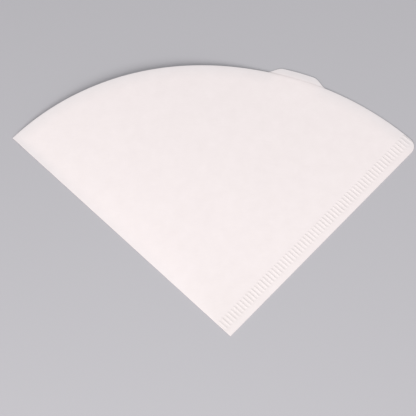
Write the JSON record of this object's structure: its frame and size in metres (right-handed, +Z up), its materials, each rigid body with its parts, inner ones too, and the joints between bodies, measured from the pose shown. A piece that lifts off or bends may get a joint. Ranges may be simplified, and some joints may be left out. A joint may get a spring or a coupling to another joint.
{
  "type": "paper coffee filter",
  "caption": "Flat-folded cone filter of white paper, with a crimped seam along one straight edge, a fold along the other and a pull tab at the rim.",
  "frame": {"origin": "middle of the box that holds the filter, on the surface that it lies on", "axes": "+Z up from the surface, +Y from the tip toward the middle of the rim, +X toward the seam's side, with the fold on the -X side"},
  "size_m": [0.1606, 0.1146, 0.0038],
  "materials": {
    "paper": "matt, bleached white"
  },
  "bodies": {
    "root": {"paper_filter": "paper"}
  },
  "joints": []
}
